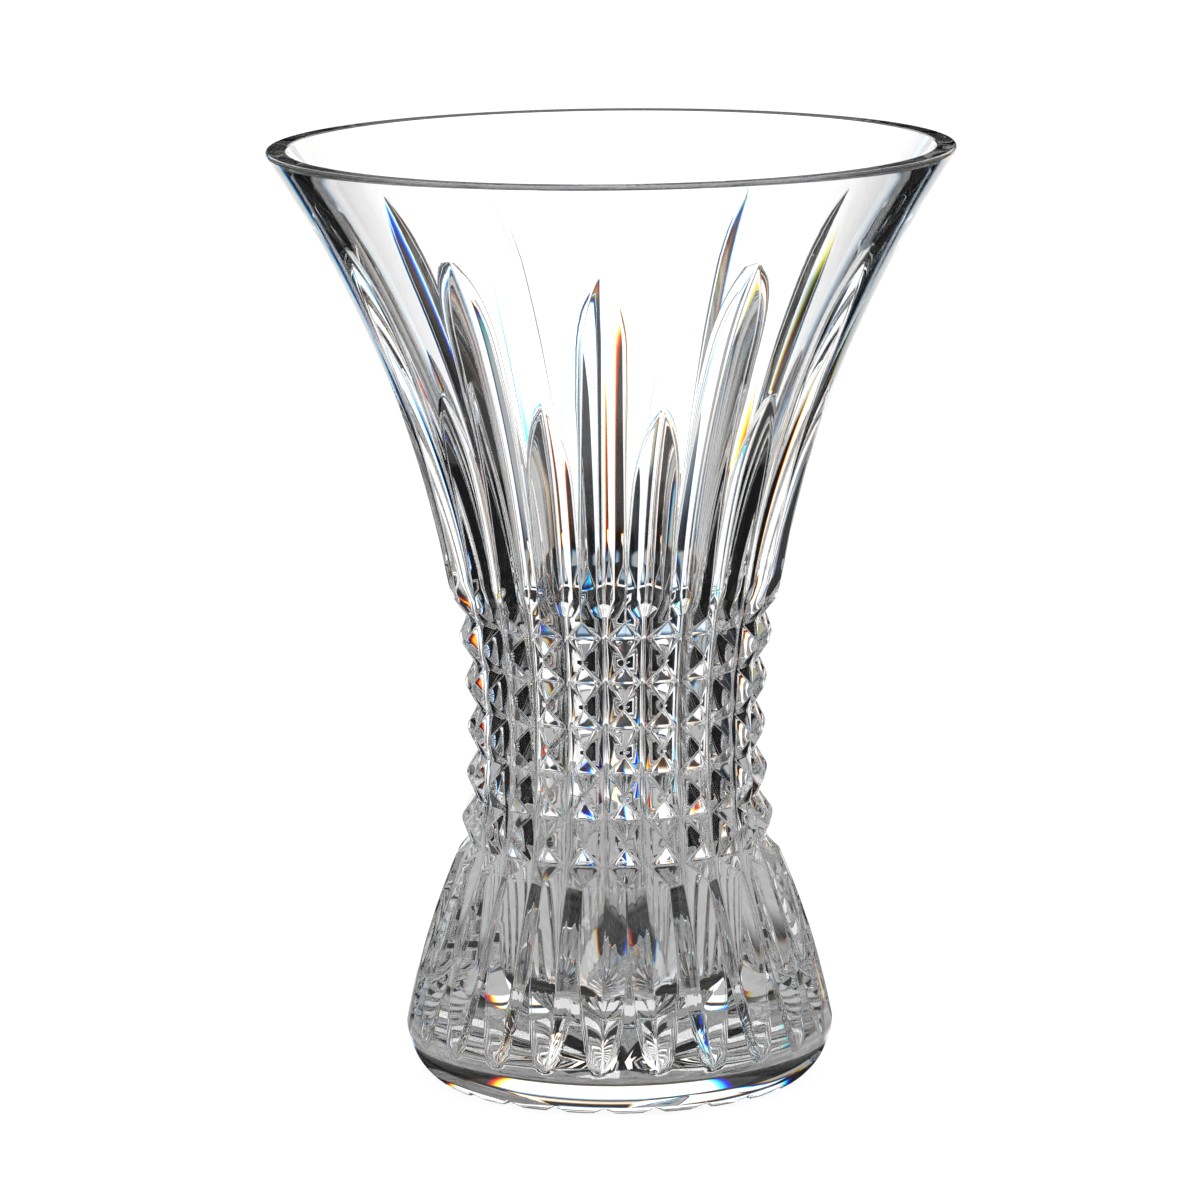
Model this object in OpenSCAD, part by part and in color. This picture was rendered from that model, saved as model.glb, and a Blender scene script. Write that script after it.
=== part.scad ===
// Cut crystal vase: one thick-walled piece of clear glass with a flared mouth, a narrow waist of
// square pyramids, tall and short leaves above them, and a fluted base that stands on a cut star.
// Millimetres. +Z is up, and the origin is at the centre of the flat underside.

/* [Blown shape] */
// Height of the vase
vase_h = 203.2; // [195:0.1:215]
// Outer radius at the shoulder, where the leaves end and the pyramids begin
shoulder_r = 36.2; // [35:0.1:38]
// Height of the shoulder
shoulder_z = 106.4; // [105:0.1:108]
// Radius that the flare gains for each millimetre just above the shoulder
flare_slope = 0.14; // [0.10:0.01:0.18]
// How fast the flare opens, in millimetres per square millimetre of height
flare_curve = 0.00266; // [0.0023:0.00001:0.0028]
// Outer radius at the narrowest place of the waist
waist_r = 32.9; // [32.5:0.1:33.4]
// Height of the narrowest place of the waist
waist_z = 76; // [72:0.5:80]
// Outer radius at the top edge of the base
base_top_r = 36.1; // [35.5:0.1:37]
// Height of the top edge of the base
base_top_z = 48; // [47:0.1:49]
// Largest outer radius of the foot
foot_r = 46.6; // [45:0.1:48]
// Height of the largest radius of the foot
foot_z = 11.4; // [10:0.1:12]
// Outward bulge of the base between its top edge and the foot
base_bulge = 0.9; // [0:0.1:1.5]
// Radius of the rounding under the foot
foot_round = 13.8; // [13:0.1:16]
// Radius of the rounding of the two rim edges
rim_round = 0.6; // [0.3:0.1:1.2]

/* [Inside] */
// Thickness of the wall at the rim
rim_wall = 5; // [4:0.1:6]
// Inner radius at the narrowest place of the bore
bore_r = 25.4; // [23:0.1:26]
// Height of the narrowest place of the bore
bore_z = 76; // [70:0.5:82]
// Inner radius just above the rounded floor corner
well_r = 25; // [22:0.1:26]
// Thickness of the glass under the floor
floor_z = 12; // [10:0.5:15]
// Radius of the rounding between the floor and the bore
floor_round = 13; // [10:0.5:15]

/* [Upright cuts] */
// Number of upright V cuts around the vase, half of them tall and half of them short
cuts = 24; // [24]
// Angle of each flank of an upright cut from the surface, in the waist and the base
cut_slope = 30; // [29:0.5:31]
// Depth of an upright cut across the waist, as a share of the radius
cut_share = 0.09; // [0.088:0.001:0.094]
// Height above the shoulder over which a cut of the waist runs out into its leaf
cut_runout = 4; // [3:0.5:6]
// Angle of each flank of a leaf from the surface
leaf_slope = 22; // [21:0.5:23]
// Depth of a leaf at the shoulder
leaf_root_depth = 2.28; // [2.2:0.01:2.3]
// Depth of a tall leaf just below its curved end
leaf_depth = 1.92; // [1.8:0.01:2]
// Height of the tip of a tall leaf
tall_tip_z = 185.6; // [182:0.1:188]
// Height of the tip of a short leaf
short_tip_z = 154; // [150:0.1:158]
// Length over which a leaf rises to its tip
leaf_runout = 19; // [16:0.5:24]
// Height of the pointed lower end of a base flute
flute_tip_z = 10; // [9.5:0.1:11]
// Length over which a base flute rises to its lower end
flute_runout = 24; // [20:0.5:26]

/* [Cuts across the waist] */
// Number of level V cuts around the waist
rings = 6; // [6]
// Height of the lowest level cut
first_ring_z = 52.1; // [51.5:0.1:52.5]
// Distance from one level cut to the next
ring_pitch = 9.94; // [9.8:0.01:10]
// Depth of a level cut as a share of the radius
ring_share = 0.078; // [0.07:0.001:0.085]

/* [Star under the base] */
// Depth of a ray of the star at the edge of the flat underside
ray_depth = 1.3; // [0.8:0.05:1.6]
// Distance from the centre to the pointed inner end of a ray
ray_start = 5; // [3:0.5:10]

/* [Hidden] */
$fn = 144;

// angle between neighbouring upright cuts
pitch_a = 360 / cuts;
// steps along the curved outlines
flare_steps = 16;
waist_steps = 8;
base_steps = 6;
arc_steps = 7;
rim_steps = 4;
bore_steps = 18;
well_steps = 5;
runout_steps = 5;
// cutters reach this far past the glass
clear = 30;
// the valleys of a flute and a leaf go on this far past their tips
past_flute_tip = 1.5;
past_leaf_tip = 2;
// a cut of the waist leaves the glass this far outside its surface
cut_lift = 0.2;
// the cutter of the level cuts starts this far outside the glass and beyond the waist's two ends
ring_lift = 0.9;
ring_over = 1;
// half the width of a star ray's cutter, which is wider than the ray
ray_half_w = 8;
// the mouth, and the upper end of the bore
mouth_r = shoulder_r + flare_slope * (vase_h - shoulder_z) + flare_curve * pow(vase_h - shoulder_z, 2);
bore_rim_r = mouth_r - rim_wall;
bore_curve = (bore_rim_r - bore_r) / pow(vase_h - bore_z, 2);
// how far the outside and the bore lean from upright at the rim
rim_lean_out = atan(flare_slope + 2 * flare_curve * (vase_h - shoulder_z));
rim_lean_in = atan(2 * bore_curve * (vase_h - bore_z));
// the two rim edges are arcs that meet the outside, the flat top and the bore without a corner
rim_arc_out_r = mouth_r - rim_round * (tan(rim_lean_out) + 1 / cos(rim_lean_out));
rim_arc_in_r = bore_rim_r + rim_round * (1 / cos(rim_lean_in) - tan(rim_lean_in));
flare_end_z = vase_h - rim_round * (1 + sin(rim_lean_out));
bore_end_z = vase_h - rim_round * (1 - sin(rim_lean_in));
well_z = floor_z + floor_round;
well_curve = (well_r - bore_r) / pow(bore_z - well_z, 2);
// centre of the rounding under the foot, and the edge of the flat underside
foot_round_r = foot_r - foot_round;
flat_r = foot_round_r + sqrt(pow(foot_round, 2) - pow(foot_z, 2));
// a ray of the star is a straight V cut, tilted so that it deepens outward
ray_tilt = atan(ray_depth / (flat_r - ray_start));

// Outer radius of the uncut glass at height z
function flare(z) = shoulder_r + flare_slope * (z - shoulder_z) + flare_curve * pow(z - shoulder_z, 2);
function waist(z) =
    z > waist_z
        ? waist_r + (shoulder_r - waist_r) * pow((z - waist_z) / (shoulder_z - waist_z), 2)
        : waist_r + (base_top_r - waist_r) * pow((waist_z - z) / (waist_z - base_top_z), 2);
function base(z) =
    let (t = (z - foot_z) / (base_top_z - foot_z))
    foot_r + (base_top_r - foot_r) * t + 4 * base_bulge * t * (1 - t);
function outside(z) =
    z > shoulder_z ? flare(z) :
    z > base_top_z ? waist(z) : base(z);

// Share of the full depth at distance s from the tip of a cut, below zero past the tip
function runout(s, length) = s > length ? 1 : 1 - pow(1 - s / length, 2);

function heights(z0, z1, steps) = [for (i = [0:steps]) z0 + (z1 - z0) * i / steps];

// The valley of an upright cut of the waist, from its base flute to where it runs out in a leaf
function cut_depth(z) =
    z > base_top_z ? cut_share * waist(z) : cut_share * base_top_r * runout(z - flute_tip_z, flute_runout);
cut_heights = concat(
    heights(flute_tip_z - past_flute_tip, flute_tip_z + flute_runout, runout_steps + 2),
    heights(base_top_z, waist_z, 3),
    heights(waist_z + 10, shoulder_z, 2)
);
cut_valley = concat(
    [for (z = cut_heights) [outside(z) - cut_depth(z), z]],
    [[outside(shoulder_z + cut_runout) + cut_lift, shoulder_z + cut_runout]]
);

// The valley of a leaf with its tip at tip_z
function leaf_cut_depth(z, tip_z) =
    let (rise = (min(z, tall_tip_z) - shoulder_z) / (tall_tip_z - leaf_runout - shoulder_z))
    (leaf_root_depth + (leaf_depth - leaf_root_depth) * rise) * runout(tip_z - z, leaf_runout);
function leaf_heights(tip_z) = concat(
    [shoulder_z - 1, shoulder_z],
    heights(shoulder_z + 12, tip_z - leaf_runout, tip_z > short_tip_z ? 4 : 2),
    heights(tip_z - leaf_runout * (1 - 1 / runout_steps), tip_z + past_leaf_tip, runout_steps)
);
function leaf_valley(tip_z) = [for (z = leaf_heights(tip_z)) [outside(z) - leaf_cut_depth(z, tip_z), z]];

// A point of the rounded rim edge whose centre has radius r, at angle a
function rim_point(r, a) = [r + rim_round * cos(a), vase_h - rim_round + rim_round * sin(a)];

// Blown and ground glass before cutting
module blank() {
    outer = concat(
        [for (i = [0:arc_steps])
            let (a = -acos((flat_r - foot_round_r) / foot_round) * (1 - i / arc_steps))
            [foot_round_r + foot_round * cos(a), foot_z + foot_round * sin(a)]],
        [for (i = [1:base_steps]) let (z = foot_z + (base_top_z - foot_z) * i / base_steps) [base(z), z]],
        [for (i = [1:waist_steps]) let (z = base_top_z + (shoulder_z - base_top_z) * i / waist_steps)
            [waist(z), z]],
        [for (i = [1:flare_steps]) let (z = shoulder_z + (flare_end_z - shoulder_z) * i / flare_steps)
            [flare(z), z]]
    );
    rim = concat(
        [for (i = [1:rim_steps]) let (a = (90 + rim_lean_out) * i / rim_steps - rim_lean_out)
            rim_point(rim_arc_out_r, a)],
        [for (i = [0:rim_steps - 1]) let (a = 90 + (90 - rim_lean_in) * i / rim_steps)
            rim_point(rim_arc_in_r, a)]
    );
    bore = [for (i = [0:bore_steps])
        let (z = bore_end_z + (bore_z - bore_end_z) * i / bore_steps)
        [bore_r + bore_curve * pow(z - bore_z, 2), z]];
    well = [for (i = [1:well_steps])
        let (z = bore_z + (well_z - bore_z) * i / well_steps)
        [bore_r + well_curve * pow(bore_z - z, 2), z]];
    corner = [for (i = [1:arc_steps])
        let (a = 90 * i / arc_steps)
        [well_r - floor_round + floor_round * cos(a), well_z - floor_round * sin(a)]];
    rotate_extrude()
        polygon(concat([[0, 0]], outer, rim, bore, well, corner, [[0, floor_z]]));
}

// One flank of a V cut: everything outside its valley line, seen along the flank
module flank(line, slope, side) {
    seen = [for (p = line) [p[0] * cos(slope), p[1]]];
    far = mouth_r + clear;
    rotate([0, 0, -side * slope])
        translate([0, clear, 0])
            rotate([90, 0, 0])
                linear_extrude(2 * clear)
                    polygon(concat(seen, [[far, line[len(line) - 1][1]], [far, line[0][1]]]));
}

module v_cut(line, slope) {
    intersection() {
        flank(line, slope, 1);
        flank(line, slope, -1);
    }
}

// The level V cuts around the waist, which turn the upright ridges into pyramids
module level_cuts() {
    bottoms = [for (i = [0:rings - 1])
        let (z = first_ring_z + i * ring_pitch)
        [waist(z) * (1 - ring_share), z]];
    peaks = [for (i = [0:rings - 2])
        let (z = first_ring_z + (i + 0.5) * ring_pitch)
        [waist(z), z]];
    zigzag = [for (i = [0:2 * rings - 2]) i % 2 == 0 ? bottoms[i / 2] : peaks[(i - 1) / 2]];
    far = shoulder_r + clear;
    rotate_extrude()
        polygon(concat(
            [[far, base_top_z - ring_over], [base_top_r + ring_lift, base_top_z - ring_over]],
            zigzag,
            [[shoulder_r + ring_lift, shoulder_z + ring_over], [far, shoulder_z + ring_over]]
        ));
}

// One ray of the star under the base
module star_ray() {
    drop = ray_half_w * tan(cut_slope);
    translate([ray_start, 0, 0])
        rotate([0, -ray_tilt, 0])
            rotate([90, 0, 90])
                linear_extrude(foot_r + clear)
                    polygon([[-ray_half_w, -drop], [0, 0], [ray_half_w, -drop]]);
}

module crystal_body() {
    color([0.86, 0.90, 0.93])
        difference() {
            blank();
            level_cuts();
            for (i = [0:cuts - 1])
                rotate([0, 0, -90 + i * pitch_a]) {
                    v_cut(cut_valley, cut_slope);
                    v_cut(leaf_valley(i % 2 == 0 ? tall_tip_z : short_tip_z), leaf_slope);
                }
            for (i = [0:cuts - 1])
                rotate([0, 0, -90 + i * pitch_a])
                    star_ray();
        }
}

crystal_body();
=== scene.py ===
"""Cut crystal vase: a fine mesh of the cut glass in place of the CAD node, with its material, a studio
and a camera. Lengths are in millimetres until the mesh is made."""
import math

import bpy
import numpy as np
from mathutils import Euler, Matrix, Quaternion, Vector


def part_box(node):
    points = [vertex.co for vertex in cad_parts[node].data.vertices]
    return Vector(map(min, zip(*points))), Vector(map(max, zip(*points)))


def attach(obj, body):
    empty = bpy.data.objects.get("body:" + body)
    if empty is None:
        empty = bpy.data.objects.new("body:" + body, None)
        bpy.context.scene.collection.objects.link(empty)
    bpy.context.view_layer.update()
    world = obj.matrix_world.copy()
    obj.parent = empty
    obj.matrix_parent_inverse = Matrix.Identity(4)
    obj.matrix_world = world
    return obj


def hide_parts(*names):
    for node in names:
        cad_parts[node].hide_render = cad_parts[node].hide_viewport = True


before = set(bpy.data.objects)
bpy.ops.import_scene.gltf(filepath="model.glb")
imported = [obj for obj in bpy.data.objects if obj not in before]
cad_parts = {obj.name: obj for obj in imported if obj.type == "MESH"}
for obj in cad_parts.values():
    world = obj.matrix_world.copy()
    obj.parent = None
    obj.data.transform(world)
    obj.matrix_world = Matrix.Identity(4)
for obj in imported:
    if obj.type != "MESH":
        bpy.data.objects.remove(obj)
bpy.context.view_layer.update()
low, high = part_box("crystal_body")

MM = 0.001

# ---- sizes as in the CAD model ------------------------------------------------------------------
VASE_H = (high[2] - low[2]) / MM
SHOULDER_R, SHOULDER_Z = 36.2, 106.4
FLARE_SLOPE, FLARE_CURVE = 0.14, 0.00266
WAIST_R, WAIST_Z = 32.9, 76.0
BASE_TOP_R, BASE_TOP_Z = 36.1, 48.0
FOOT_R, FOOT_Z, BASE_BULGE, FOOT_ROUND = 46.6, 11.4, 0.9, 13.8
RIM_ROUND, RIM_WALL = 0.6, 5.0
BORE_R, BORE_Z, WELL_R, FLOOR_Z, FLOOR_ROUND = 25.4, 76.0, 25.0, 12.0, 13.0
CUTS, CUT_SLOPE, CUT_SHARE = 24, math.tan(math.radians(30)), 0.09
TALL_TIP_Z, SHORT_TIP_Z, LEAF_RUNOUT = 185.6, 154.0, 19.0
# a leaf is this much flatter than its cut across the waist, from this far above the shoulder; the
# depth is before flattening
LEAF_FLATNESS, FLATTENING, LEAF_DEPTH = 0.70, 4.0, 2.75
FLUTE_TIP_Z, FLUTE_RUNOUT = 10.0, 24.0
RINGS, FIRST_RING_Z, RING_PITCH, RING_SHARE = 6, 52.1, 9.94, 0.078
# the level cuts start this far outside the glass, and this far beyond the waist's two ends
RING_LIFT, RING_OVER = 0.9, 1.0
RAY_DEPTH, RAY_START = 1.3, 5.0

# ---- what the cutter's hand and the polish leave ------------------------------------------------
# a leaf's tip may be this far from its height, and a cut this many degrees from its place
TIP_ERROR, PLACE_ERROR = 0.5, 0.25
# the cuts lean together, by up to this many degrees round, as a wave along the height
DRIFT, DRIFT_MIDDLE_Z, DRIFT_LENGTH = 1.8, 145.0, 49.45
# polish rounds each valley and each ridge over this distance
VALLEY_SOFT, RIDGE_SOFT = 0.26, 0.26
# a fine line runs along each edge of a cut, and it fades out where the cut is shallow
LINE_DEPTH, LINE_WIDTH, LINE_FADE = 0.10, 0.07, 0.4

# the vase is turned this many degrees from square to the camera
CAMERA_TURN = 3.0

MOUTH_R = SHOULDER_R + FLARE_SLOPE * (VASE_H - SHOULDER_Z) + FLARE_CURVE * (VASE_H - SHOULDER_Z) ** 2
RIM_BORE_R = MOUTH_R - RIM_WALL
BORE_CURVE = (RIM_BORE_R - BORE_R) / (VASE_H - BORE_Z) ** 2
RIM_LEAN_OUT = math.atan(FLARE_SLOPE + 2 * FLARE_CURVE * (VASE_H - SHOULDER_Z))
RIM_LEAN_IN = math.atan(2 * BORE_CURVE * (VASE_H - BORE_Z))
RIM_ARC_OUT_R = MOUTH_R - RIM_ROUND * (math.tan(RIM_LEAN_OUT) + 1 / math.cos(RIM_LEAN_OUT))
RIM_ARC_IN_R = RIM_BORE_R + RIM_ROUND * (1 / math.cos(RIM_LEAN_IN) - math.tan(RIM_LEAN_IN))
FLARE_END_Z = VASE_H - RIM_ROUND * (1 + math.sin(RIM_LEAN_OUT))
BORE_END_Z = VASE_H - RIM_ROUND * (1 - math.sin(RIM_LEAN_IN))
WELL_Z = FLOOR_Z + FLOOR_ROUND
WELL_CURVE = (WELL_R - BORE_R) / (BORE_Z - WELL_Z) ** 2
FOOT_ROUND_R = FOOT_R - FOOT_ROUND
FLAT_R = FOOT_ROUND_R + math.sqrt(FOOT_ROUND**2 - FOOT_Z**2)
PITCH_A = math.tau / CUTS


# ---- the shape as functions ---------------------------------------------------------------------
def outside(z):
    """Outer radius of the uncut glass at height z."""
    z = np.asarray(z, float)
    flare = SHOULDER_R + FLARE_SLOPE * (z - SHOULDER_Z) + FLARE_CURVE * (z - SHOULDER_Z) ** 2
    reach = np.where(z > WAIST_Z, SHOULDER_Z - WAIST_Z, WAIST_Z - BASE_TOP_Z)
    end = np.where(z > WAIST_Z, SHOULDER_R, BASE_TOP_R)
    waist = WAIST_R + (end - WAIST_R) * ((z - WAIST_Z) / reach) ** 2
    t = (z - FOOT_Z) / (BASE_TOP_Z - FOOT_Z)
    base = FOOT_R + (BASE_TOP_R - FOOT_R) * t + 4 * BASE_BULGE * t * (1 - t)
    foot = FOOT_ROUND_R + np.sqrt(np.maximum(FOOT_ROUND**2 - (z - FOOT_Z) ** 2, 0))
    side = np.where(z > BASE_TOP_Z, waist, np.where(z > FOOT_Z, base, foot))
    return np.where(z > SHOULDER_Z, flare, side)


def runout(s, length):
    """Share of its full depth that a cut has at distance s from its tip."""
    return np.where(s > length, 1.0, 1 - (1 - s / length) ** 2)


def openness(z):
    """How flat the V of an upright cut is at height z, against its flanks in the waist."""
    return 1 - (1 - LEAF_FLATNESS) * np.clip((z - SHOULDER_Z) / FLATTENING, 0, 1)


def cut_depth(z, tip_z):
    """Depth of an upright cut at height z, for a leaf with its tip at tip_z."""
    full = CUT_SHARE * SHOULDER_R
    leaf_top = TALL_TIP_Z - LEAF_RUNOUT
    leaf = full + (LEAF_DEPTH - full) * (np.minimum(z, TALL_TIP_Z) - SHOULDER_Z) / (leaf_top - SHOULDER_Z)
    leaf = leaf * runout(tip_z - z, LEAF_RUNOUT)
    flute = CUT_SHARE * BASE_TOP_R * runout(z - FLUTE_TIP_Z, FLUTE_RUNOUT)
    below = np.where(z > BASE_TOP_Z, CUT_SHARE * outside(z), flute)
    return openness(z) * np.where(z > SHOULDER_Z, leaf, below)


def hand(i, k):
    """A small steady irregularity of cut i, between -1 and 1, as a cutter's hand leaves it."""
    return math.sin(12.9898 * (i + 1) + 78.233 * (k + 1))


def cut_tip(i):
    """Height of the tip of leaf i; tall and short leaves take turns."""
    return (TALL_TIP_Z if i % 2 == 0 else SHORT_TIP_Z) + TIP_ERROR * hand(i, 0)


def cut_azimuth(i):
    """Azimuth of cut i, counted from the front."""
    return -math.pi / 2 + i * PITCH_A + math.radians(PLACE_ERROR) * hand(i, 1)


def drift(z):
    """How far round the cuts have moved together at height z."""
    return math.radians(DRIFT) * np.sin((np.clip(z, 60, 200) - DRIFT_MIDDLE_Z) / DRIFT_LENGTH)


def valley(i, z):
    """Distance from the axis to the valley of cut i at height z."""
    return outside(z) - cut_depth(z, cut_tip(i % CUTS))


def soft_abs(t, w):
    """Absolute value with its corner rounded over w."""
    return np.sqrt(t * t + w * w) - w


def soft_min(a, b, k):
    """The lesser of a and b, rounded where they differ by less than k."""
    h = np.maximum(k - np.abs(a - b), 0) / k
    return np.minimum(a, b) - h * h * k / 4


def crease(a, b, depth):
    """soft_min with the fine line that the wheel leaves where a cut of some depth meets the skin."""
    line = LINE_DEPTH * np.clip(depth - LINE_FADE, 0, 1) * np.exp(-((a - b) / LINE_WIDTH) ** 2)
    return soft_min(a, b, RIDGE_SOFT) - line


def ring_bottom(j):
    """Height and radius of the valley of level cut j."""
    z = FIRST_RING_Z + j * RING_PITCH
    return z, float(outside(z)) * (1 - RING_SHARE)


def ring_radius(z, soft):
    """Radius that the level cuts leave at height z."""
    z = np.asarray(z, float)
    best = None
    for j in range(RINGS):
        zb, rb = ring_bottom(j)
        up = (SHOULDER_Z + RING_OVER, SHOULDER_R + RING_LIFT) if j == RINGS - 1 else \
            (zb + RING_PITCH / 2, float(outside(zb + RING_PITCH / 2)))
        down = (BASE_TOP_Z - RING_OVER, BASE_TOP_R + RING_LIFT) if j == 0 else \
            (zb - RING_PITCH / 2, float(outside(zb - RING_PITCH / 2)))
        s_up = (up[1] - rb) / (up[0] - zb)
        s_down = (down[1] - rb) / (zb - down[0])
        dz = z - zb
        wedge = rb + (s_up + s_down) / 2 * (soft_abs(dz, VALLEY_SOFT) if soft else np.abs(dz)) \
            + (s_up - s_down) / 2 * dz
        if best is None:
            best = wedge
        else:
            best = soft_min(best, wedge, RIDGE_SOFT) if soft else np.minimum(best, wedge)
    return best


def turned(z):
    """Radius of the glass with its level cuts only, with sharp edges."""
    return np.minimum(outside(z), ring_radius(z, False))


def inside_measure(x, y, z):
    """Positive inside the glass, zero on its outer skin, with softened edges."""
    rho = np.hypot(x, y)
    phi = np.arctan2(y, x)
    g = soft_min(outside(z), ring_radius(z, True), RIDGE_SOFT) - rho
    wander = drift(z)
    nearest = np.round((phi - wander + math.pi / 2) / PITCH_A).astype(int) % CUTS
    for step in (-1, 0, 1):
        which = (nearest + step) % CUTS
        azimuth = AZIMUTHS[which] + wander
        along = x * np.cos(azimuth) + y * np.sin(azimuth)
        across = -x * np.sin(azimuth) + y * np.cos(azimuth)
        depth = cut_depth(z, TIPS[which])
        flank = CUT_SLOPE * openness(z) * soft_abs(across, VALLEY_SOFT)
        g = crease(g, outside(z) - depth + flank - along, depth)
        ray = RAY_DEPTH * (along - RAY_START) / (FLAT_R - RAY_START)
        g = soft_min(g, z - ray + CUT_SLOPE * soft_abs(across, VALLEY_SOFT), RIDGE_SOFT)
    return soft_min(g, z, RIDGE_SOFT)


TIPS = np.array([cut_tip(i) for i in range(CUTS)])
AZIMUTHS = np.array([cut_azimuth(i) for i in range(CUTS)])


# ---- the mesh: rows along the profile, columns that follow every crease -------------------------
def spread(z0, z1, step):
    """Even steps from z0 to z1, each about as long as step."""
    return list(np.linspace(z0, z1, max(2, round(abs(z1 - z0) / step) + 1)))


def outer_heights():
    """Heights of the rows up the outside, close together where the surface turns."""
    zs = spread(FOOT_Z, BASE_TOP_Z - 1, 1.5)
    near = (-0.55, -0.28, -0.12, 0, 0.12, 0.28, 0.55)
    for j in range(RINGS):
        zb = ring_bottom(j)[0]
        zs += [zb + d for d in near]
        zs += [zb + 1.5, zb + 2.5, zb + 3.5, zb - 1.5, zb - 2.5, zb - 3.5]
        if j < RINGS - 1:
            zs += [zb + RING_PITCH / 2 + d for d in (-0.9, -0.5, -0.25, -0.1, 0, 0.1, 0.25, 0.5, 0.9)]
    zs += [BASE_TOP_Z - 0.5, BASE_TOP_Z, BASE_TOP_Z + 0.5, BASE_TOP_Z + 1]
    zs += spread(SHOULDER_Z - 1.2, SHOULDER_Z + 1.2, 0.3)
    zs += spread(SHOULDER_Z + 2, SHORT_TIP_Z - 8, 2.4)
    zs += spread(SHORT_TIP_Z - 7, SHORT_TIP_Z + 1.5, 1.0)
    zs += spread(SHORT_TIP_Z + 3, TALL_TIP_Z - 11, 2.4)
    zs += spread(TALL_TIP_Z - 10, TALL_TIP_Z + 1.5, 1.0)
    zs += spread(TALL_TIP_Z + 3.5, FLARE_END_Z, 2.8)
    zs = sorted(zs)
    return [z for i, z in enumerate(zs) if i == 0 or z - zs[i - 1] > 0.04]


def rim_row(centre_r, a):
    """The row at angle a on a rounded rim edge."""
    return centre_r + RIM_ROUND * math.cos(a), VASE_H - RIM_ROUND + RIM_ROUND * math.sin(a), 0, 0, False


def profile_rows():
    """(r, z, inward r, inward z, cut) for each row, from the underside's middle round to the floor's."""
    rows = [(r, 0.0, 0.0, 1.0, True) for r in
            [3.0] + spread(RAY_START, FLAT_R - 1, 3.0) + [FLAT_R - 0.4, FLAT_R - 0.15, FLAT_R]]
    first = -math.acos((FLAT_R - FOOT_ROUND_R) / FOOT_ROUND)
    foot_rows = 17
    for i in range(1, foot_rows + 1):
        share = i / foot_rows
        a = first * (1 - share)
        lean = math.radians(90) * (1 - min(1, share * 2.5))
        rows.append((FOOT_ROUND_R + FOOT_ROUND * math.cos(a), FOOT_Z + FOOT_ROUND * math.sin(a),
                     -math.cos(lean), math.sin(lean), True))
    for z in outer_heights()[1:]:
        rows.append((float(outside(z)), z, -1.0, 0.0, z < TALL_TIP_Z + 2))
    for a in np.linspace(-RIM_LEAN_OUT, math.pi / 2, 9)[1:]:
        rows.append(rim_row(RIM_ARC_OUT_R, a))
    for r in spread(RIM_ARC_OUT_R - 0.7, RIM_ARC_IN_R + 0.7, 0.8):
        rows.append((r, VASE_H, 0, 0, False))
    for a in np.linspace(math.pi / 2, math.pi - RIM_LEAN_IN, 8):
        rows.append(rim_row(RIM_ARC_IN_R, a))
    for z in spread(BORE_END_Z - 1, BORE_Z, 2.2):
        rows.append((BORE_R + BORE_CURVE * (z - BORE_Z) ** 2, z, 0, 0, False))
    for z in spread(BORE_Z - 2.2, WELL_Z, 2.2):
        rows.append((BORE_R + WELL_CURVE * (BORE_Z - z) ** 2, z, 0, 0, False))
    corner_rows = 12
    for i in range(1, corner_rows + 1):
        a = math.radians(90) * i / corner_rows
        rows.append((WELL_R - FLOOR_ROUND + FLOOR_ROUND * math.cos(a), WELL_Z - FLOOR_ROUND * math.sin(a),
                     0, 0, False))
    for r in spread(WELL_R - FLOOR_ROUND - 2.5, 2.5, 2.5):
        rows.append((r, FLOOR_Z, 0, 0, False))
    return rows


def edge_angle(line, skin, z):
    """Azimuth from a cut's valley to the crease where its flank leaves the turned skin."""
    slope = math.atan(CUT_SLOPE * float(openness(z)))
    share = np.clip(line / skin * math.cos(slope), -1, 1)
    return max(0.0, float(np.arccos(share)) - slope)


def ridge_angle(line_a, line_b, gap, z):
    """Azimuth from valley a to the ridge that it shares with valley b, gap further round."""
    slope = CUT_SLOPE * float(openness(z))
    lo, hi = 0.0, gap
    for _ in range(40):
        mid = (lo + hi) / 2
        a = line_a / (math.cos(mid) - slope * math.sin(mid))
        b = line_b / (math.cos(gap - mid) - slope * math.sin(gap - mid))
        lo, hi = (mid, hi) if a < b else (lo, mid)
    return (lo + hi) / 2


def flank_steps(width, r):
    """Azimuths from a valley to its crease, close together at both ends."""
    mm = width * r
    k = min(1.0, mm / 1.6)
    near = [0, 0.09 * k, 0.2 * k, 0.42 * k]
    far = [mm - 0.26 * k, mm - 0.1 * k]
    middle = [near[-1] + (far[0] - near[-1]) * t for t in (1 / 3, 2 / 3)]
    return [s / r for s in near + middle + far]


def plateau_steps(width, r, sharp):
    """Azimuths from one crease to the next, ends left out; sharp is how much of a crease there is."""
    mm = width * r
    k = min(1.0, mm / 1.2) * sharp
    near, far = [0.1 * k, 0.26 * k], [mm - 0.26 * k, mm - 0.1 * k]
    middle = [near[-1] + (far[0] - near[-1]) * t / 5 for t in range(1, 5)]
    return [s / r for s in near + middle + far]


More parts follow.
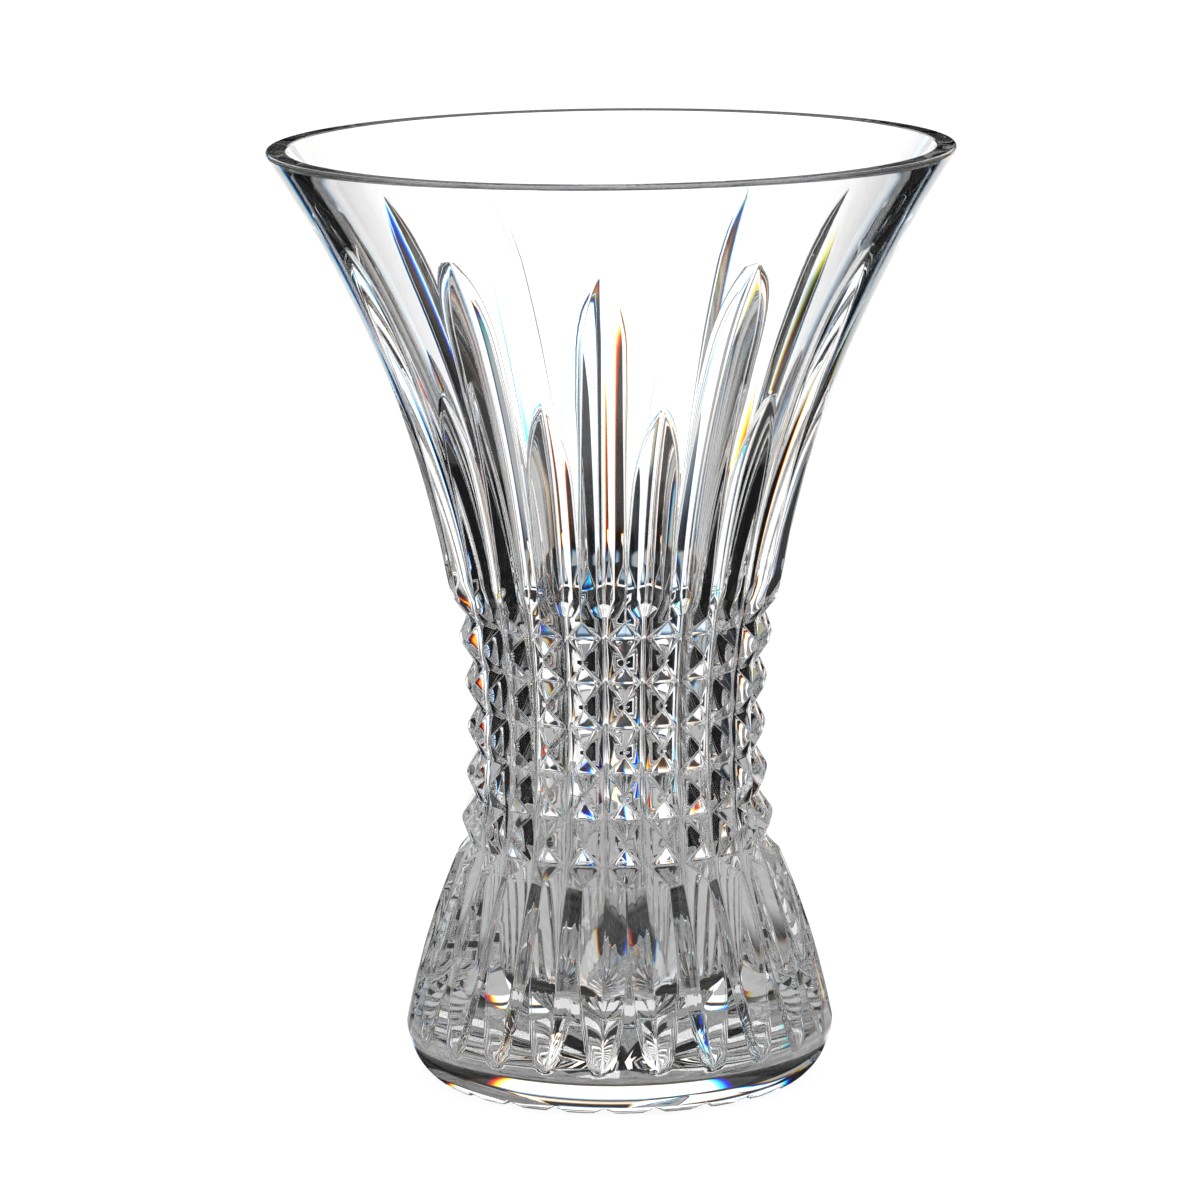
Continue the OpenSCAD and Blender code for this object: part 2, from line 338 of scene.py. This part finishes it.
def column_azimuths(r, z, cut, flat):
    """Azimuths of one row's points."""
    out = []
    skin = r if flat else float(turned(z))
    wander = float(drift(z))
    for i in range(CUTS):
        start = AZIMUTHS[i] + wander
        gap = (AZIMUTHS[(i + 1) % CUTS] - AZIMUTHS[i]) % math.tau
        if flat:
            depth = RAY_DEPTH * (r - RAY_START) / (FLAT_R - RAY_START)
            left = right = math.asin(min(1, max(0, depth) / CUT_SLOPE / r)) if cut else 0.0
        elif cut:
            line_a, line_b = float(valley(i, z)), float(valley(i + 1, z))
            left, right = edge_angle(line_a, skin, z), edge_angle(line_b, skin, z)
            if left + right > gap:
                left = ridge_angle(line_a, line_b, gap, z)
                right = gap - left
        else:
            left = right = 0.0
        sharp = min(1.0, max(left, right) * r / 0.6)
        steps = flank_steps(left, r) + [left]
        steps += [left + s for s in plateau_steps(gap - left - right, r, sharp)]
        steps += [gap - right] + [gap - s for s in reversed(flank_steps(right, r)[1:])]
        out += [start + s for s in steps]
    return out


def crystal_points():
    """Points, normals and azimuths of the vase, as arrays of rows by columns."""
    rows = profile_rows()
    azimuths = np.array([
        column_azimuths(r, z, cut, dz > 0.5 and r <= FLAT_R + 2) for r, z, dr, dz, cut in rows])
    r0, z0, dr, dz, cut = (np.array([row[k] for row in rows])[:, None] for k in range(5))
    cut = cut.astype(bool)
    cos, sin = np.cos(azimuths), np.sin(azimuths)

    def at(depth):
        """Where each point is once it has moved inwards by depth."""
        rho = r0 + dr * depth
        return rho * cos, rho * sin, z0 + dz * depth + 0 * cos

    # halve the way to the glass until the points lie on it
    lo, hi = np.full(azimuths.shape, -0.05), np.full(azimuths.shape, 6.0)
    for _ in range(26):
        mid = (lo + hi) / 2
        solid = inside_measure(*at(mid)) > 0
        lo, hi = np.where(solid, lo, mid), np.where(solid, mid, hi)
    depth = np.where(cut, (lo + hi) / 2, 0.0)
    x, y, z = at(depth)
    eps = 0.01
    grad = [inside_measure(x + eps * a, y + eps * b, z + eps * c)
            - inside_measure(x - eps * a, y - eps * b, z - eps * c)
            for a, b, c in ((1, 0, 0), (0, 1, 0), (0, 0, 1))]
    normal = -np.stack(grad, -1)
    # the plain rows take theirs from the profile's own direction
    tr, tz = np.gradient(r0[:, 0]), np.gradient(z0[:, 0])
    plain = np.stack([tz[:, None] * cos, tz[:, None] * sin, -tr[:, None] + 0 * cos], -1)
    normal = np.where(cut[..., None], normal, plain)
    normal /= np.linalg.norm(normal, axis=-1, keepdims=True)
    return np.stack([x, y, z], -1), normal, azimuths


def crystal_mesh():
    """One closed mesh of quads from the rows and columns, with the exact normals of the shape."""
    points, normals, azimuths = crystal_points()
    rows, cols = azimuths.shape
    # columns that fall together in a row share one point
    turn = np.diff(azimuths, axis=1, prepend=azimuths[:, -1:] - math.tau)
    fresh = turn * np.hypot(points[..., 0], points[..., 1]) > 1e-4
    fresh[:, 0] |= ~fresh.any(axis=1)
    index = np.cumsum(fresh.ravel()).reshape(rows, cols) - 1
    for row in range(rows):
        if not fresh[row, 0]:
            index[row, :np.argmax(fresh[row])] = index[row, -1]
    verts, vnormals = points[fresh], normals[fresh]
    faces = []
    for row in range(rows - 1):
        a, b = index[row], index[row + 1]
        for c in range(cols):
            d = (c + 1) % cols
            quad = list(dict.fromkeys((a[c], a[d], b[d], b[c])))
            if len(quad) > 2:
                faces.append(quad)
    ends = []
    for row, z, side in ((0, 0.0, -1), (rows - 1, FLOOR_Z, 1)):
        ends.append((len(verts), [0, 0, z], [0, 0, side]))
        verts = np.vstack([verts, [0, 0, z]])
        vnormals = np.vstack([vnormals, [0, 0, side]])
        ring = list(dict.fromkeys(index[row]))
        for p, q in zip(ring, ring[1:] + ring[:1]):
            faces.append([p, len(verts) - 1, q] if side < 0 else [p, q, len(verts) - 1])
    mesh = bpy.data.meshes.new("crystal")
    mesh.from_pydata((verts * MM).tolist(), [], faces)
    mesh.validate()
    mesh.polygons.foreach_set("use_smooth", [True] * len(mesh.polygons))
    mesh.normals_split_custom_set_from_vertices(vnormals.tolist())
    print("crystal mesh:", len(mesh.vertices), "points", len(mesh.polygons), "faces")
    return mesh


# ---- shader helpers ----------------------------------------------------------------------------
def node_with(nt, kind, values):
    """A node with its sockets set to numbers or joined to other nodes' outputs."""
    node = nt.nodes.new(kind)
    for name, value in values.items():
        if isinstance(value, bpy.types.NodeSocket):
            nt.links.new(value, node.inputs[name])
        else:
            node.inputs[name].default_value = value
    return node


def maths(nt, operation, a, b=0.0):
    """The output of one Math node."""
    node = node_with(nt, "ShaderNodeMath", {0: a, 1: b})
    node.operation = operation
    return node.outputs[0]


def step(nt, value, edge, soft):
    """0 below an edge and 1 above it, with a soft change over twice soft."""
    edges = {"From Min": edge - soft, "From Max": edge + soft}
    node = node_with(nt, "ShaderNodeMapRange", {"Value": value, **edges})
    node.interpolation_type = "SMOOTHSTEP"
    return node.outputs[0]


def between(nt, value, low, high, soft):
    """1 between two edges and 0 outside them."""
    below_high = maths(nt, "SUBTRACT", 1.0, step(nt, value, high, soft))
    return maths(nt, "MULTIPLY", step(nt, value, low, soft), below_high)


def seen_in_glass(nt):
    """1 for what is seen through the glass or reflected by it, and 0 for all else."""
    path = nt.nodes.new("ShaderNodeLightPath")
    return maths(nt, "MAXIMUM", path.outputs["Is Transmission Ray"], path.outputs["Is Glossy Ray"])


# ---- material ------------------------------------------------------------------------------------
def crystal_material():
    """Clear lead crystal; light from the room falls through it onto the floor almost undimmed."""
    mat = bpy.data.materials.new("cut_crystal")
    mat.use_nodes = True
    nt = mat.node_tree
    nt.nodes.clear()
    glass = node_with(nt, "ShaderNodeBsdfGlass", {"IOR": 1.545, "Roughness": 0.0})
    clear = node_with(nt, "ShaderNodeBsdfTransparent", {"Color": (0.93, 0.93, 0.93, 1)})
    path = nt.nodes.new("ShaderNodeLightPath")
    passing = maths(nt, "MAXIMUM", path.outputs["Is Shadow Ray"], path.outputs["Is Diffuse Ray"])
    mix = node_with(nt, "ShaderNodeMixShader", {0: passing, 1: glass.outputs[0], 2: clear.outputs[0]})
    node_with(nt, "ShaderNodeOutputMaterial", {"Surface": mix.outputs[0]})
    return mat


def add_crystal():
    """The cut glass, in place of the CAD node."""
    mesh = crystal_mesh()
    body = bpy.data.objects.new("crystal_body_cut", mesh)
    bpy.context.scene.collection.objects.link(body)
    mesh.materials.append(crystal_material())
    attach(body, "root")
    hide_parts("crystal_body")


# ---- studio --------------------------------------------------------------------------------------
# brightness of the dark room that the crystal sees
ROOM = 0.010
# the panels that it sees there, as (from, to) degrees round from straight behind, the same on both
# sides; (from, to) degrees above the horizon; and brightness
PANELS = [
    ((-1, 24), (-18.5, 4), 1.30),
    ((30, 44), (-8, 3), 0.45),
    ((-1, 25), (9, 26), 1.40),
    ((75, 181), (12, 50), 0.50),
    ((-1, 181), (50, 91), 0.34),
    ((75, 181), (-91, -42), 0.80),
    ((-1, 75), (-91, -42), 0.30),
]
# what it sees straight through, with no reflection on the way, to the sides and in front
FAR_WALLS = [
    ((38, 75), (-40, -16), 0.60),
    ((75, 181), (-42, 6), 1.20),
]
# degrees over which a panel's edge fades
PANEL_SOFT = 1.2
# brightness of the painted glow on a ring of floor around the vase, which only the crystal sees, and its
# two radii in metres
PAINTED_FLOOR_GLOW, NEAR_FLOOR_R, NEAR_FLOOR_SOFT = 0.5, (0.062, 0.13), 0.004
# brightness of the white room that the camera and the floor see
WHITE_ROOM = 1.2
# painted colour fringes on the studio panels' edges stand in for crystal bending blue more than red, which
# spreads every edge that it shows into colours; each colour of the panels is moved this many degrees round
# and up
SPREAD = [(-1.6, -0.2), (0.0, 0.0), (1.6, 0.2)]


def panel_light(nt, panels, turn, height):
    """Brightness of some panels in one direction."""
    light = 0.0
    for (left, right), (low, high), level in panels:
        inside = maths(nt, "MULTIPLY", between(nt, turn, left, right, PANEL_SOFT),
                       between(nt, height, low, high, PANEL_SOFT))
        light = maths(nt, "ADD", light, maths(nt, "MULTIPLY", inside, level))
    return light


def studio_light(nt, straight, turn, height):
    """Brightness of the room in one direction; straight is 1 where nothing reflected the view."""
    walls = maths(nt, "MULTIPLY", panel_light(nt, FAR_WALLS, turn, height), straight)
    return maths(nt, "ADD", ROOM, maths(nt, "MAXIMUM", panel_light(nt, PANELS, turn, height), walls))


def add_world():
    """The studio that the crystal sees, and a plain white room for everything else."""
    world = bpy.data.worlds.new("studio")
    world.use_nodes = True
    bpy.context.scene.world = world
    nt = world.node_tree
    nt.nodes.clear()
    place = nt.nodes.new("ShaderNodeTexCoord")
    direction = node_with(nt, "ShaderNodeSeparateXYZ", {0: place.outputs["Generated"]})
    x, y, z = (direction.outputs[k] for k in range(3))
    turn = maths(nt, "DEGREES", maths(nt, "ARCTAN2", x, y))
    height = maths(nt, "DEGREES", maths(nt, "ARCSINE", z))
    path = nt.nodes.new("ShaderNodeLightPath")
    straight = maths(nt, "LESS_THAN", path.outputs["Glossy Depth"], 0.5)
    # painted colour fringes: red, green and blue of the panels are shifted apart by SPREAD, in place of
    # dispersion in the glass
    colours = [studio_light(nt, straight, maths(nt, "ABSOLUTE", maths(nt, "ADD", turn, round_by)),
                            maths(nt, "ADD", height, up_by)) for round_by, up_by in SPREAD]
    light = node_with(nt, "ShaderNodeCombineXYZ", dict(enumerate(colours)))
    white = node_with(nt, "ShaderNodeBackground", {"Color": (1, 1, 1, 1), "Strength": WHITE_ROOM})
    studio = node_with(nt, "ShaderNodeBackground", {"Color": light.outputs[0], "Strength": 1.0})
    views = {0: seen_in_glass(nt), 1: white.outputs[0], 2: studio.outputs[0]}
    mix = node_with(nt, "ShaderNodeMixShader", views)
    node_with(nt, "ShaderNodeOutputWorld", {"Surface": mix.outputs[0]})


def add_floor():
    """A pale floor; the crystal sees a ring of it with a painted glow, and the studio's panels in place of
    the rest.
    """
    size = 6.0
    mesh = bpy.data.meshes.new("floor")
    mesh.from_pydata([(-size, -size, 0), (size, -size, 0), (size, size, 0), (-size, size, 0)], [],
                     [(0, 1, 2, 3)])
    floor = bpy.data.objects.new("floor", mesh)
    bpy.context.scene.collection.objects.link(floor)
    mat = bpy.data.materials.new("pale_floor")
    mat.use_nodes = True
    nt = mat.node_tree
    nt.nodes.clear()
    paint = node_with(nt, "ShaderNodeBsdfDiffuse", {"Color": (0.93, 0.93, 0.93, 1)})
    place = nt.nodes.new("ShaderNodeNewGeometry")
    distance = node_with(nt, "ShaderNodeVectorMath", {0: place.outputs["Position"]})
    distance.operation = "LENGTH"
    # painted glow: for rays from the glass only, this ring of floor shines by itself, with no lamp on it
    close = between(nt, distance.outputs["Value"], *NEAR_FLOOR_R, NEAR_FLOOR_SOFT)
    painted_glow = node_with(nt, "ShaderNodeEmission", {"Color": (1, 1, 1, 1), "Strength": PAINTED_FLOOR_GLOW})
    open_floor = nt.nodes.new("ShaderNodeBsdfTransparent")
    in_glass = node_with(nt, "ShaderNodeMixShader", {0: close, 1: open_floor.outputs[0], 2: painted_glow.outputs[0]})
    views = {0: seen_in_glass(nt), 1: paint.outputs[0], 2: in_glass.outputs[0]}
    mix = node_with(nt, "ShaderNodeMixShader", views)
    node_with(nt, "ShaderNodeOutputMaterial", {"Surface": mix.outputs[0]})
    mesh.materials.append(mat)


def add_camera():
    """The photo's view: from a little above, with the vase slightly turned."""
    data = bpy.data.cameras.new("camera")
    data.sensor_width = 36.0
    data.lens = 197.76
    cam = bpy.data.objects.new("camera", data)
    bpy.context.scene.collection.objects.link(cam)
    pitch, turn, yaw, roll = (math.radians(a) for a in (10.442, CAMERA_TURN, 0.137, -0.6))
    back = 1.4059
    cam.location = (back * math.sin(turn), -back * math.cos(turn), 0.3633)
    cam.rotation_mode = "QUATERNION"
    aim = Euler((math.radians(90) - pitch, 0, turn + yaw)).to_quaternion()
    cam.rotation_quaternion = aim @ Quaternion((0, 0, 1), roll)
    bpy.context.scene.camera = cam


add_camera()
add_crystal()
add_world()
add_floor()
# thick cut glass reflects light inside many times before it lets it out
bounces = 20
bpy.context.scene.cycles.max_bounces = bounces
bpy.context.scene.cycles.transmission_bounces = bounces
bpy.context.scene.cycles.glossy_bounces = bounces
bpy.context.scene.view_settings.view_transform = "Standard"
